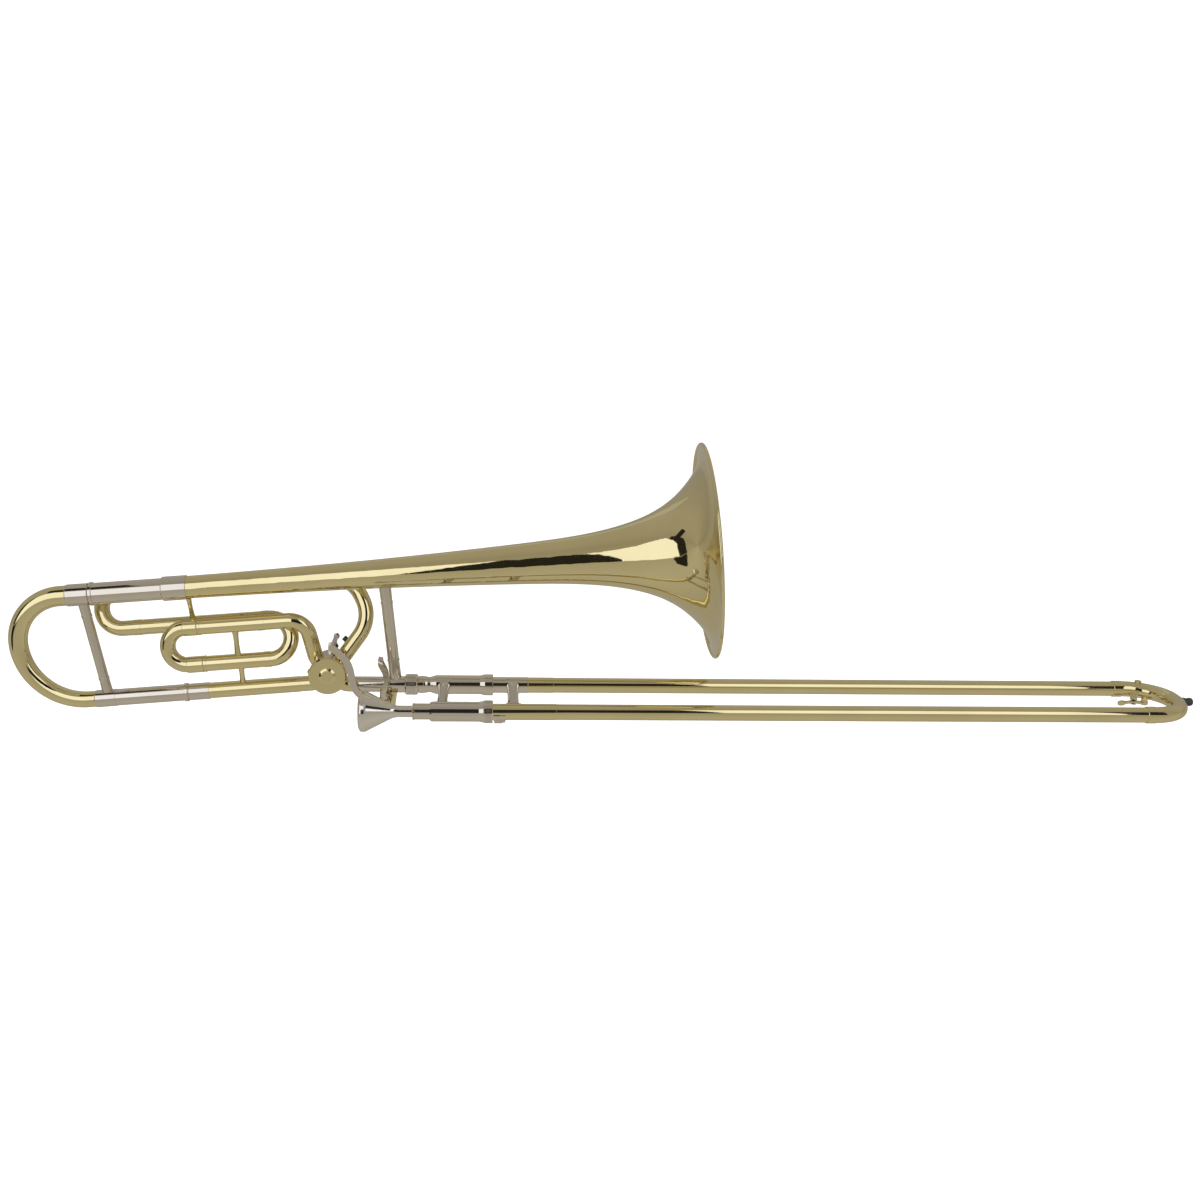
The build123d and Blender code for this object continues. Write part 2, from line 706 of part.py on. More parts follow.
def right_crook_path():
    """From the second tube round to the lower leg of the near loop."""
    corner_x = -112.6
    start = on_line(-139.0, SECOND_Y, SECOND_Z)
    end = on_line(-133.8, LOOP_Y, LOOP_BOTTOM_Z)
    high = on_line(corner_x - 1.6, SECOND_Y, SECOND_Z)
    low_point = on_line(corner_x + 1.6, LOOP_Y, LOOP_BOTTOM_Z)
    bend_r = (high - low_point).length / 2 - 0.02
    return route([start, high, low_point, end], [bend_r, bend_r])


def f_top_tube():
    return bent_tube(loop_top_path(), WRAP_R, WRAP_BORE)


def f_return_crook():
    return bent_tube(return_crook_path(), WRAP_R, WRAP_BORE)


def f_far_crook():
    return bent_tube(far_crook_path(), WRAP_R, WRAP_BORE)


def f_right_crook():
    return bent_tube(right_crook_path(), WRAP_R, WRAP_BORE)


def straight_tube(start, end, outer, bore):
    return rod(start, end, outer) - rod(start, end, bore)


def f_straight_tubes():
    """The tube behind the bell's stem and the second tube of the wrap."""
    back = straight_tube(
        back_line(BACK_TUBE_X - 0.1), back_line(FAR_CROOK_TOP_START), WRAP_R, WRAP_BORE)
    second = straight_tube(
        on_line(-139.0, SECOND_Y, SECOND_Z), on_line(FAR_CROOK_LOW_START, SECOND_Y, SECOND_Z),
        WRAP_R, WRAP_BORE)
    return group(back, second)


def f_outer_legs():
    """Fixed legs of the F tuning slide, with their end rings."""
    legs = []
    for left, right, height in ((-201.6, -139.1, LOOP_TOP_Z), (-196.8, -133.9, LOOP_BOTTOM_Z)):
        place = tilted(LOOP_X, LOOP_Y, height)
        start = (left - LOOP_X) / COS_T
        end = (right - LOOP_X) / COS_T
        legs.append(turned(place, [
            (start, 7.25), (end, 7.25), (end, 7.65), (start + 2.4, 7.65), (start + 2.2, 8.2),
            (start + 0.3, 8.2), (start, 7.9),
        ]))
    return group(*legs)


def f_ferrules():
    """Short ferrules over the joints of the fixed tubes."""
    spots = [
        (-139.0, LOOP_Y, LOOP_TOP_Z, WRAP_R + 0.05), (-133.8, LOOP_Y, LOOP_BOTTOM_Z, WRAP_R + 0.05),
        (-139.0, SECOND_Y, SECOND_Z, WRAP_R), (FAR_CROOK_LOW_START, SECOND_Y, SECOND_Z, WRAP_R),
    ]
    rings = []
    for x, y, height, bore in spots:
        place = tilted(x, y, loop_z(x, height))
        if bore > WRAP_R:
            rings.append(turned(place, [
                (-4.5, bore), (0, bore), (0, WRAP_R), (1.8, WRAP_R), (1.8, 7.9), (-4.5, 7.9)]))
        else:
            rings.append(sleeve(place, -3.5, 3.5, 7.9, WRAP_R))
    return group(*rings)


def f_bow_path():
    top = on_line(LOOP_X, LOOP_Y, LOOP_TOP_Z)
    far_top = top - ALONG * LOOP_BEND_R
    far_bottom = far_top - ACROSS * (2 * LOOP_BEND_R)
    bottom = top - ACROSS * (2 * LOOP_BEND_R)
    bend_r = LOOP_BEND_R - 0.005
    return route([top, far_top, far_bottom, bottom], [bend_r, bend_r])


def f_tuning_bow():
    return bent_tube(f_bow_path(), WRAP_R, WRAP_BORE)


def f_bow_legs():
    """Places of the two legs, at the ends of the F tuning slide's bow, and their ferrules' ends."""
    top = on_line(LOOP_X, LOOP_Y, LOOP_TOP_Z)
    bottom = top - ACROSS * (2 * LOOP_BEND_R)
    return [
        (Plane(origin=top, x_dir=ALONG, z_dir=ACROSS).location, 12.3),
        (Plane(origin=bottom, x_dir=ALONG, z_dir=ACROSS).location, 14.1),
    ]


def f_tuning_ferrules():
    rings = []
    for place, end in f_bow_legs():
        rings.append(turned(place, [
            (-1.5, WRAP_R + 0.16), (0.02, WRAP_R + 0.16), (0.02, 7.2), (end, 7.2), (end, 7.8),
            (end - 0.4, 8.15), (-1.1, 8.15), (-1.5, 7.9),
        ]))
    return group(*rings)


def f_tuning_legs():
    """Inner legs of the F tuning slide."""
    return group(*[sleeve(leg[0], 0.02, 66.0, 7.2, 6.8) for leg in f_bow_legs()])


def wrap_braces():
    """Turned posts between the bell stem, the wrap and the gooseneck."""
    stem = turned_post((-212.2, 0, 92.0), (-209.2, 8.0, 62.0), 2.2, 3.4)
    stem -= rod(bell_point(bell_s(-260)), bell_point(bell_s(-150)), 12.05)
    stem -= rod(on_line(-240, SECOND_Y, SECOND_Z), on_line(-160, SECOND_Y, SECOND_Z), WRAP_R)
    loop = turned_post((-166.0, LOOP_Y, 58.5), (-163.8, LOOP_Y, 30.0), 2.5, 3.6)
    for height in (LOOP_TOP_Z, LOOP_BOTTOM_Z):
        loop -= rod(on_line(-190, LOOP_Y, height), on_line(-140, LOOP_Y, height), 7.65)
    low = turned_post((-161.3, LOOP_Y, 22.0), (-161.2, 0, -1.0), 2.5, 3.6)
    low -= rod(on_line(-190, LOOP_Y, LOOP_BOTTOM_Z), on_line(-140, LOOP_Y, LOOP_BOTTOM_Z), 7.65)
    low -= rod(leg_point(0.0), leg_point(90.0), 7.9)
    back = turned_post(bell_point(bell_s(-170)), back_line(-170), 1.8, 3.6)
    back -= bell_solid()
    back -= rod(back_line(-200), back_line(-140), WRAP_R)
    return group(stem, loop, low, back)


def turned_post(start, end, radius, foot_r):
    """Slim brace, waisted in a single arc between its two feet."""
    start = Vector(*start)
    end = Vector(*end)
    length = (end - start).length
    side = (end - start).cross(Vector(1, 0.3, 0))
    place = Plane(origin=start, x_dir=end - start, z_dir=side).location
    face = make_face([
        ThreePointArc((0, foot_r), (length / 2, radius), (length, foot_r)),
        Polyline((length, foot_r), (length, 0), (0, 0), (0, foot_r)),
    ])
    return place * revolve(face, axis=Axis.X)


# --- the inner hand slide ---------------------------------------------------------------------
def slide_tenon():
    """Tapered tenon with the flange that the lock nut pulls on."""
    return turned(NECK, [
        (-7.6, 6.87), (24.0, 6.87), (24.0, 7.9), (10.55, 7.9), (10.45, 9.1), (8.3, 9.1),
        (8.3, 7.4), (7.5, 7.38), (-7.6, 7.24),
    ])


def cork_barrel_neck():
    return turned(NECK, [
        (13.6, 7.9), (24.0, 7.9), (24.0, 7.2), (30.0, 7.2), (30.0, BARREL_BORE),
        (88.4, BARREL_BORE), (88.4, 10.2), (87.8, 10.7), (80.2, 10.7), (75.5, BARREL_R),
        (31.4, BARREL_R), (28.2, 8.7), (25.6, 7.8), (23.0, 7.8), (20.5, 8.5), (18.6, 8.5),
        (18.2, 8.75), (14.2, 8.75), (13.6, 8.4),
    ])


def mouthpiece_receiver():
    """Taper socket for the mouthpiece's shank."""
    return turned(LEADPIPE, [
        (12.3, 5.65), (30.0, 5.33), (30.0, 7.2), (29.2, 7.75), (14.2, 7.75),
        (13.8, 8.2), (12.8, 8.2), (12.3, 7.6),
    ])


def cork_barrel_mouthpiece():
    return turned(LEADPIPE, [
        (29.2, 7.75), (30.0, 7.2), (36.0, 7.2), (36.0, BARREL_BORE), (87.6, BARREL_BORE),
        (87.6, 9.2), (79.7, 9.2), (79.7, 10.4), (75.5, BARREL_R), (30.4, BARREL_R),
        (28.9, 8.6), (28.9, 7.75),
    ])


def slide_lock_ring():
    """Knurled ring on the barrel's end, with the bayonet lip that catches the outer slide."""
    flutes = 40
    body = turned(LEADPIPE, [
        (79.9, 9.25), (87.8, 9.25), (87.8, 8.4), (88.7, 8.4), (88.7, 10.4), (88.0, 11.0),
        (80.5, 11.0), (79.9, 10.4),
    ])
    notch = Pos(88.3, -SLIDE_SPACING, -9.4) * Box(1.6, 4.6, 4.2)
    flute = rod((81.5, 0, 11.1), (87.0, 0, 11.1), 0.3)
    cuts = [LEADPIPE * (Rot(X=360 * turn / flutes) * flute) for turn in range(flutes)]
    return body - notch - cuts


def barrel_bumpers():
    """Felt rings in the barrels that the outer slide comes up against."""
    rings = [sleeve(place, 54.0, 61.4, BARREL_BORE - 0.1, INNER_TUBE_R) for place in (NECK, LEADPIPE)]
    return group(*rings)


def inner_slide_tubes():
    """The two inner tubes, each with its stocking at the far end."""
    tubes = []
    for place in (NECK, LEADPIPE):
        start = 24.0 if place is NECK else 30.0
        tubes.append(turned(place, [
            (start, INNER_TUBE_BORE), (INNER_TUBE_END_X, INNER_TUBE_BORE),
            (INNER_TUBE_END_X, STOCKING_R - 0.1), (INNER_TUBE_END_X - 1, STOCKING_R),
            (INNER_TUBE_END_X - STOCKING_LENGTH, STOCKING_R),
            (INNER_TUBE_END_X - STOCKING_LENGTH - 4, INNER_TUBE_R), (start, INNER_TUBE_R),
        ]))
    return group(*tubes)


def leadpipe():
    """Tapered pipe inside the inner tube, from the mouthpiece receiver on."""
    return turned(LEADPIPE, [
        (46.0, 5.5), (240.0, 6.55), (240.0, INNER_TUBE_BORE), (30.05, INNER_TUBE_BORE),
        (30.05, 5.9), (46.0, 5.9),
    ])


def slide_brace(x, neck_r, lead_r, post_r, foot_r, knob_r):
    """Brace across the slide: a waisted post between saddles on the two tubes, with a boss."""
    near = -SLIDE_SPACING
    start = -neck_r + 2.0
    end = near + lead_r - 2.0
    place = Plane(origin=(x, start, 0), x_dir=(0, -1, 0), z_dir=(0, 0, 1)).location
    length = start - end
    face = make_face([
        ThreePointArc((0, foot_r), (length / 2, post_r), (length, foot_r)),
        Polyline((length, foot_r), (length, 0), (0, 0), (0, foot_r)),
    ])
    post = place * revolve(face, axis=Axis.X)
    for y, radius in ((0, neck_r), (near, lead_r)):
        place = level(y)
        saddle = sleeve(place, x - foot_r - 0.8, x + foot_r + 0.8, radius + 0.7, radius)
        side = -1 if y == 0 else 1
        keep = Pos(x, y + side * (radius + 1.5), 0) * Box(4 * foot_r, 10.0, 4 * foot_r)
        post += saddle & keep
        post -= rod((x - 30, y, 0), (x + 30, y, 0), radius)
    boss = rod((x, -neck_r - 3.6, 0), (x, -neck_r - 3.6, foot_r + 0.3), knob_r)
    return post + boss


def inner_slide_brace():
    return slide_brace(INNER_BRACE_X, BARREL_R, BARREL_R, 4.9, 6.4, 3.4)


# --- the outer hand slide ---------------------------------------------------------------------
def outer_slide_tubes():
    tubes = []
    for place in (NECK, LEADPIPE):
        end = SLIDE_BOW_X - 4.5
        tubes.append(turned(place, [
            (SLEEVE_START_X, OUTER_TUBE_BORE), (end, OUTER_TUBE_BORE), (end, OUTER_TUBE_R),
            (TUBE_TOP_END_X, OUTER_TUBE_R), (TUBE_TOP_END_X - 0.3, TUBE_TOP_R),
            (SLEEVE_START_X, TUBE_TOP_R),
        ]))
    return group(*tubes)


def outer_slide_sleeves():
    """Nickel sleeve on the neck side; on the mouthpiece side, a half collar with the lock's lug."""
    neck_sleeve = turned(NECK, [
        (SLEEVE_START_X, TUBE_TOP_R), (SLEEVE_END_X, TUBE_TOP_R), (SLEEVE_END_X, SLEEVE_R - 0.15),
        (SLEEVE_END_X - 0.4, SLEEVE_R), (SLEEVE_START_X, SLEEVE_R),
    ])
    collar = turned(LEADPIPE, [
        (89.4, TUBE_TOP_R), (101.0, TUBE_TOP_R), (101.0, 8.6), (95.2, 8.6), (95.0, 9.2),
        (89.4, 9.2),
    ])
    collar -= Pos(95.0, -SLIDE_SPACING, 8.6) * Box(20.0, 30.0, 20.0)
    lug = Pos(94.0, -SLIDE_SPACING, -9.5) * Box(8.0, 4.2, 3.0)
    lug += Pos(98.5, -SLIDE_SPACING, -9.1) * Box(4.6, 4.2, 2.2)
    return group(neck_sleeve, collar + lug)


def outer_slide_brace():
    return slide_brace(OUTER_BRACE_X, SLEEVE_R, TUBE_TOP_R, 5.4, 6.4, 3.4)


def slide_bow_path():
    start_x = SLIDE_BOW_X - 4.5
    end_y = -SLIDE_SPACING
    far_x = SLIDE_BOW_X + SLIDE_BEND_R
    return route([
        Vector(start_x, 0, 0), Vector(far_x, 0, 0), Vector(far_x, end_y, 0),
        Vector(start_x, end_y, 0),
    ], [SLIDE_BEND_R, SLIDE_BEND_R])


def slide_bow():
    return bent_tube(slide_bow_path(), SLIDE_BOW_R, SLIDE_BOW_BORE)


def slide_bow_ferrules():
    rings = []
    for place in (NECK, LEADPIPE):
        rings.append(turned(place, [
            (731.6, OUTER_TUBE_R), (SLIDE_BOW_X - 4.52, OUTER_TUBE_R),
            (SLIDE_BOW_X - 4.52, SLIDE_BOW_R + 0.04), (SLIDE_BOW_X, SLIDE_BOW_R + 0.04),
            (SLIDE_BOW_X, 8.4),
            (732.0, 8.4), (731.6, 8.1),
        ]))
    return group(*rings)


BUMPER_X = SLIDE_BOW_X + SLIDE_BEND_R + SLIDE_BOW_R - 1.6
BUMPER_LENGTH = 12.6


def bow_bumper():
    """Rubber bumper on the bow's tip: a collar, a waist and a round head."""
    place = Location((BUMPER_X, -SLIDE_SPACING / 2, 0))
    end = BUMPER_LENGTH
    body = turned(place, [
        (0, 0), (end, 0), (end, 2.6), (end - 0.6, 3.5), (end - 1.8, 4.1), (end - 3.4, 4.3),
        (end - 5.0, 4.1), (end - 6.2, 3.7), (end - 7.4, 4.0), (2.6, 4.5), (0, 4.6),
    ])
    return body - bent_bar(slide_bow_path(), SLIDE_BOW_R)


# --- the water key ----------------------------------------------------------------------------
KEY_TURN = 24.0  # how far round the bow the key sits
KEY_ROLL = 42.0  # how far below the bow's plane it points


def key_place():
    """On the bow's surface: X along the tube towards the tip, Z away from the tube."""
    bend_r = SLIDE_BEND_R
    turn = math.radians(KEY_TURN)
    roll = math.radians(KEY_ROLL)
    centre = Vector(SLIDE_BOW_X + bend_r * math.sin(turn), -bend_r * (1 - math.cos(turn)), 0)
    tangent = Vector(math.cos(turn), -math.sin(turn), 0)
    inward = Vector(-math.sin(turn), -math.cos(turn), 0)
    outward = inward * math.cos(roll) + Vector(0, 0, -math.sin(roll))
    return Plane(origin=centre, x_dir=tangent, z_dir=outward)


KEY = key_place()
KEY_PIVOT_X = -1.5
KEY_PIVOT_H = 13.4
KEY_PAD_X = 9.0
KEY_PIN_R = 0.95


def across_key(x, height, radius, length):
    """Round bar across the key, at this place along it and this height over the tube's axis."""
    return Pos(x, 0, height) * (Rot(X=90) * Cylinder(radius, length))


def bow_fittings():
    """What is soldered to the bow: the key's hinge saddle with its pin, its nipple, a button."""
    place = KEY.location
    bow = bent_bar(slide_bow_path(), SLIDE_BOW_R)
    body = Pos(KEY_PIVOT_X, 0, 7.8) * Box(7.4, 11.0, 2.0)
    for side in (-1, 1):
        body += Pos(KEY_PIVOT_X, side * 4.6, 9.4) * Box(5.4, 1.6, 11.4)
    body += across_key(KEY_PIVOT_X, KEY_PIVOT_H, KEY_PIN_R, 12.0)
    nipple = Pos(KEY_PAD_X, 0, 8.0) * Cylinder(3.1, 6.6) - Pos(KEY_PAD_X, 0, 6.0) * Cylinder(1.6, 16.0)
    button = rod((757.5, -3.6, 6.0), (757.5, -3.6, 9.9), 3.4)
    return group(place * body - bow, place * nipple - bow, button - bow)


def water_key_lever():
    """Lever with its barrel on the pin, a pad cup over the nipple and a raised touch."""
    body = across_key(KEY_PIVOT_X, KEY_PIVOT_H, 2.3, 6.6)
    body += Pos(3.8, 0, KEY_PIVOT_H + 1.3) * Box(10.4, 3.8, 2.0)
    body += Pos(KEY_PAD_X, 0, KEY_PIVOT_H + 0.9) * Cylinder(3.9, 2.2)
    body += Pos(-6.8, 0, KEY_PIVOT_H + 2.9) * (Rot(Y=18) * Box(12.0, 3.8, 1.9))
    body += Pos(-12.8, 0, KEY_PIVOT_H + 4.7) * (Rot(Y=10) * Cylinder(4.0, 1.9))
    body -= across_key(KEY_PIVOT_X, KEY_PIVOT_H, KEY_PIN_R + 0.06, 14.0)
    return KEY.location * body


def water_key_pad():
    return KEY.location * (Pos(KEY_PAD_X, 0, 12.3) * Cylinder(3.3, 1.6))


def water_key_spring():
    """Wire spring round the hinge barrel, drawn as its coil."""
    coils = []
    for side in (-1, 1):
        ring = Cylinder(3.2, 1.0) - Cylinder(2.36, 1.4)
        coils.append(KEY.location * (Pos(KEY_PIVOT_X, side * 2.6, KEY_PIVOT_H) * (Rot(X=90) * ring)))
    return group(*coils)


# --- the mouthpiece ---------------------------------------------------------------------------
def mouthpiece():
    """Cup mouthpiece: rounded rim, cup, throat and tapered shank."""
    back = [(SHANK_END_X, 5.05), (12.3, 5.6), (0.0, 5.55)]
    outside = make_face([
        Polyline((RIM_X + 2.0, 0), (SHANK_END_X, 0), *back),
        Spline((0.0, 5.55), (-4.5, 6.0), (-8.5, 7.4), tangents=[(-1, 0), (-1.9, 1)]),
        Line((-8.5, 7.4), (-30.6, 18.8)),
        Spline((-30.6, 18.8), (-32.6, RIM_R), tangents=[(-1.9, 1), (-1, 0)]),
        Line((-32.6, RIM_R), (-35.2, RIM_R)),
        Spline((-35.2, RIM_R), (-37.6, 18.0), (RIM_X, 15.6), (-37.6, 13.2), (-34.5, 12.2),
               tangents=[(-1, 0), (1, -0.25)]),
        Spline((-34.5, 12.2), (-24.0, 10.6), (-16.5, 6.4), (-13.5, 3.3),
               tangents=[(1, -0.05), (0.5, -1)]),
        Polyline((-13.5, 3.3), (-13.0, 3.2), (-9.0, 3.2), (SHANK_END_X - 0.01, 4.4),
                 (SHANK_END_X - 0.01, 0.0), (RIM_X + 2.0, 0)),
    ])
    return LEADPIPE * revolve(outside, axis=Axis.X)


PARTS = {
    "bell": bell,
    "bell_rim_wire": bell_rim_wire,
    "bell_ferrule": bell_ferrule,
    "tuning_receiver": tuning_receiver,
    "gooseneck_slide_tube": gooseneck_slide_tube,
    "gooseneck_ferrule": gooseneck_ferrule,
    "gooseneck_tube": gooseneck_tube,
    "neck_tube": neck_tube,
    "neck_receiver": neck_receiver,
    "bell_brace": bell_brace,
    "valve_casing": valve_casing,
    "valve_knuckles": valve_knuckles,
    "valve_bearing_plate": valve_bearing_plate,
    "valve_cap": valve_cap,
    "stop_bumper_plate": stop_bumper_plate,
    "stop_bumpers": stop_bumpers,
    "lever_bracket": lever_bracket,
    "lever_spring": lever_spring,
    "crook_post": crook_post,
    "f_top_tube": f_top_tube,
    "f_return_crook": f_return_crook,
    "f_straight_tubes": f_straight_tubes,
    "f_far_crook": f_far_crook,
    "f_right_crook": f_right_crook,
    "f_outer_legs": f_outer_legs,
    "f_ferrules": f_ferrules,
    "wrap_braces": wrap_braces,
    "main_bow": main_bow,
    "main_bow_ferrules": main_bow_ferrules,
    "main_bow_brace": main_bow_brace,
    "main_upper_slide_tube": main_upper_slide_tube,
    "main_lower_slide_tube": main_lower_slide_tube,
    "f_tuning_bow": f_tuning_bow,
    "f_tuning_ferrules": f_tuning_ferrules,
    "f_tuning_legs": f_tuning_legs,
    "rotor": rotor,
    "stop_arm": stop_arm,
    "link_rod": link_rod,
    "thumb_lever": thumb_lever,
    "slide_tenon": slide_tenon,
    "lock_nut": lock_nut,
    "cork_barrel_neck": cork_barrel_neck,
    "cork_barrel_mouthpiece": cork_barrel_mouthpiece,
    "mouthpiece_receiver": mouthpiece_receiver,
    "inner_slide_brace": inner_slide_brace,
    "inner_slide_tubes": inner_slide_tubes,
    "barrel_bumpers": barrel_bumpers,
    "leadpipe": leadpipe,
    "slide_lock_ring": slide_lock_ring,
    "outer_slide_tubes": outer_slide_tubes,
    "outer_slide_sleeves": outer_slide_sleeves,
    "outer_slide_brace": outer_slide_brace,
    "slide_bow": slide_bow,
    "slide_bow_ferrules": slide_bow_ferrules,
    "bow_bumper": bow_bumper,
    "bow_fittings": bow_fittings,
    "water_key_lever": water_key_lever,
    "water_key_pad": water_key_pad,
    "water_key_spring": water_key_spring,
    "mouthpiece": mouthpiece,
}

for node, make in PARTS.items():
    export_step(make(), f"parts/{node}.step")
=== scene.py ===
import json
import math

import bpy
from mathutils import Matrix, Vector


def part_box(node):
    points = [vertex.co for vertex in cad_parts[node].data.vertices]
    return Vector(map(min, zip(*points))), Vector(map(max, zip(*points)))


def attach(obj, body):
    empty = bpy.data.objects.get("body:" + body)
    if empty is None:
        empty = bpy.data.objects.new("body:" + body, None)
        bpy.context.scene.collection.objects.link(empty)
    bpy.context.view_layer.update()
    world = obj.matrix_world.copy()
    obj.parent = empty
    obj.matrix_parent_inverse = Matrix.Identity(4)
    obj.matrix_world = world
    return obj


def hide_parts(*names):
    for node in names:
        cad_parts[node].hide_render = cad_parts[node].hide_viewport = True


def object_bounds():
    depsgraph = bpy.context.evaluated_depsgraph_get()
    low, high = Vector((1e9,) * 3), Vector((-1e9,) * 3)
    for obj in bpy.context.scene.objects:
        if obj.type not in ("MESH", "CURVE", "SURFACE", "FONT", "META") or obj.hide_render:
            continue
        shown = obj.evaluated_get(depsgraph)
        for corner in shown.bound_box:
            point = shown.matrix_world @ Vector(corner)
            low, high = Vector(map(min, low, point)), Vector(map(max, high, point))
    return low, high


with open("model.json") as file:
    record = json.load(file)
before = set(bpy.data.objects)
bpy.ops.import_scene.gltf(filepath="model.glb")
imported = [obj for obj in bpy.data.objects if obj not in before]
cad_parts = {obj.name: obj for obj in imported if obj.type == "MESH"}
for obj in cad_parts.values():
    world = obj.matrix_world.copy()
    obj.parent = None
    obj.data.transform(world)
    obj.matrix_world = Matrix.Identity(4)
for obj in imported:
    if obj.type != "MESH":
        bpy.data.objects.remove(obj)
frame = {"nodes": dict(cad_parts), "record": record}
cad_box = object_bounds()
nodes = frame["nodes"]

# --- the camera ---------------------------------------------------------------------------------
CAMERA_PLACE = Vector((0.0934, -1.4272, 0.4537))  # metres
CAMERA_AZIMUTH = 4.054  # degrees, as are the next two
CAMERA_ELEVATION = 14.267
CAMERA_ROLL = 1.585
FOCAL_LENGTH = 44.16
SENSOR_WIDTH = 36.0


def make_camera():
    """Camera at the photograph's viewing angle."""
    turn = math.radians(CAMERA_AZIMUTH)
    dip = math.radians(CAMERA_ELEVATION)
    roll = math.radians(CAMERA_ROLL)
    ahead = Vector((math.sin(turn) * math.cos(dip), math.cos(turn) * math.cos(dip), -math.sin(dip)))
    right = Vector((math.cos(turn), -math.sin(turn), 0))
    up = right.cross(ahead)
    rolled_right = right * math.cos(roll) + up * math.sin(roll)
    rolled_up = up * math.cos(roll) - right * math.sin(roll)
    camera = bpy.data.objects.new("camera", bpy.data.cameras.new("camera"))
    bpy.context.scene.collection.objects.link(camera)
    camera.data.lens = FOCAL_LENGTH
    camera.data.sensor_width = SENSOR_WIDTH
    camera.data.clip_start = 0.01
    camera.data.clip_end = 50.0
    turned = Matrix((rolled_right, rolled_up, -ahead)).transposed().to_4x4()
    camera.matrix_world = Matrix.Translation(CAMERA_PLACE) @ turned
    bpy.context.scene.camera = camera


# --- node helpers -------------------------------------------------------------------------------
class Nodes:
    """Short names for making and joining shader nodes."""

    def __init__(self, tree):
        self.tree = tree
        tree.nodes.clear()

    def add(self, kind, **settings):
        node = self.tree.nodes.new(kind)
        for name, value in settings.items():
            setattr(node, name, value)
        return node

    def join(self, source, target):
        self.tree.links.new(source, target)

    def math(self, operation, *values):
        node = self.add("ShaderNodeMath", operation=operation)
        for socket, value in zip(node.inputs, values):
            if isinstance(value, (int, float)):
                socket.default_value = value
            else:
                self.join(value, socket)
        return node.outputs[0]

    def ramp(self, value, stops):
        node = self.add("ShaderNodeValToRGB")
        self.join(value, node.inputs["Fac"])
        elements = node.color_ramp.elements
        while len(elements) < len(stops):
            elements.new(0.5)
        for element, (place, colour) in zip(elements, stops):
            element.position = place
            element.color = (*colour, 1.0)
        return node.outputs["Color"]


# --- the studio ---------------------------------------------------------------------------------
# What polished metal reflects: a softbox each side of the camera, black cards between and beyond
# them, two dim softboxes at the back, and the room. Only reflections see the panels and cards.
# Corners in metres, going round each outline.
FRONT_Y = -0.9
BACK_Y = 1.5
OVERHEAD_Z = 0.5
PANEL_GLOW = (1.16, 1.17, 1.22)
BACK_GLOW = (0.47, 0.46, 0.42)
CARD_GLOW = (0.02, 0.019, 0.017)
FRONT_PANELS = {  # X, Z
    "left_softbox": [
        (-1.6, 0.0), (-0.14, 0.04), (-0.09, 0.83), (-0.55, 1.08), (-1.0, 1.35), (-1.75, 1.5),
        (-1.95, 1.4), (-2.05, 1.2), (-2.0, 0.8),
    ],
    "right_softbox": [(0.44, 0.27), (1.08, 0.27), (1.28, 1.35), (0.95, 1.5), (0.44, 1.2)],
}
FRONT_CARDS = {  # X, Z
    "camera_gap": [
        (-0.14, 0.04), (0.1, 0.04), (0.2, 0.17), (0.44, 0.2), (0.44, 1.08), (-0.09, 0.83),
    ],
    "right_gap": [(1.08, 0.27), (1.7, 0.27), (1.9, 1.5), (1.28, 1.35)],
    "left_gap": [
        (-3.1, 0.0), (-1.6, 0.0), (-2.0, 0.8), (-2.05, 1.2), (-1.95, 1.4), (-3.0, 2.1), (-5.0, 1.8),
    ],
    "low_gap": [(-3.0, -0.9), (-2.5, -0.9), (-1.3, -0.35), (-1.1, -0.04), (-2.9, -0.02)],
}
BACK_PANELS = {  # X, Z
    "back_softbox": [(-1.0, 0.95), (0.1, 0.95), (0.1, 1.5), (-1.0, 1.5)],
    "far_back_softbox": [(0.45, 0.95), (1.3, 0.95), (1.3, 1.5), (0.45, 1.5)],
}
OVERHEAD_CARDS = {  # X, Y
    "overhead_gap": [(-0.66, -0.25), (-0.41, -0.25), (-0.41, -0.04), (-0.6, -0.04)],
}
WARM = (1.02, 0.96, 0.83)  # tint of the room
ROOM_TONES = [  # angle about X from the front (0) over the top (90), and brightness
    (-180, 0.34), (-120, 0.41), (-90, 0.46), (-60, 0.49), (-20, 0.45), (8, 0.39), (60, 0.34),
    (90, 0.39), (130, 0.40), (180, 0.30),
]
FLOOR_LIGHT = 1.15  # what every ray but a reflection sees; brings the pale floor up to white
FLOOR_DROP = 0.45  # the floor lies this far under the instrument, which a stand would hold up
FLOOR_REACH = 30.0
KEY_LIGHT = ((-0.8, -1.6, 2.2), 1.6, 40.0)  # place, size, power
FILL_LIGHT = ((1.6, -1.2, 1.6), 1.4, 25.0)
LIGHT_AIM = Vector((0.2, 0.0, 0.05))


def glow_material(name, colour):
    material = bpy.data.materials.new(name)
    material.use_nodes = True
    kit = Nodes(material.node_tree)
    emission = kit.add("ShaderNodeEmission")
    emission.inputs["Color"].default_value = (*colour, 1.0)
    output = kit.add("ShaderNodeOutputMaterial")
    kit.join(emission.outputs[0], output.inputs["Surface"])
    return material


def hang(outlines, material, place):
    """Flat shapes that only reflections see; place turns an outline's corner into a point."""
    for name, outline in outlines.items():
        mesh = bpy.data.meshes.new(name)
        mesh.from_pydata([place(*corner) for corner in outline], [], [tuple(range(len(outline)))])
        shape = bpy.data.objects.new(name, mesh)
        bpy.context.scene.collection.objects.link(shape)
        shape.data.materials.append(material)
        shape.visible_camera = False
        shape.visible_diffuse = False
        shape.visible_shadow = False
        shape.visible_transmission = False


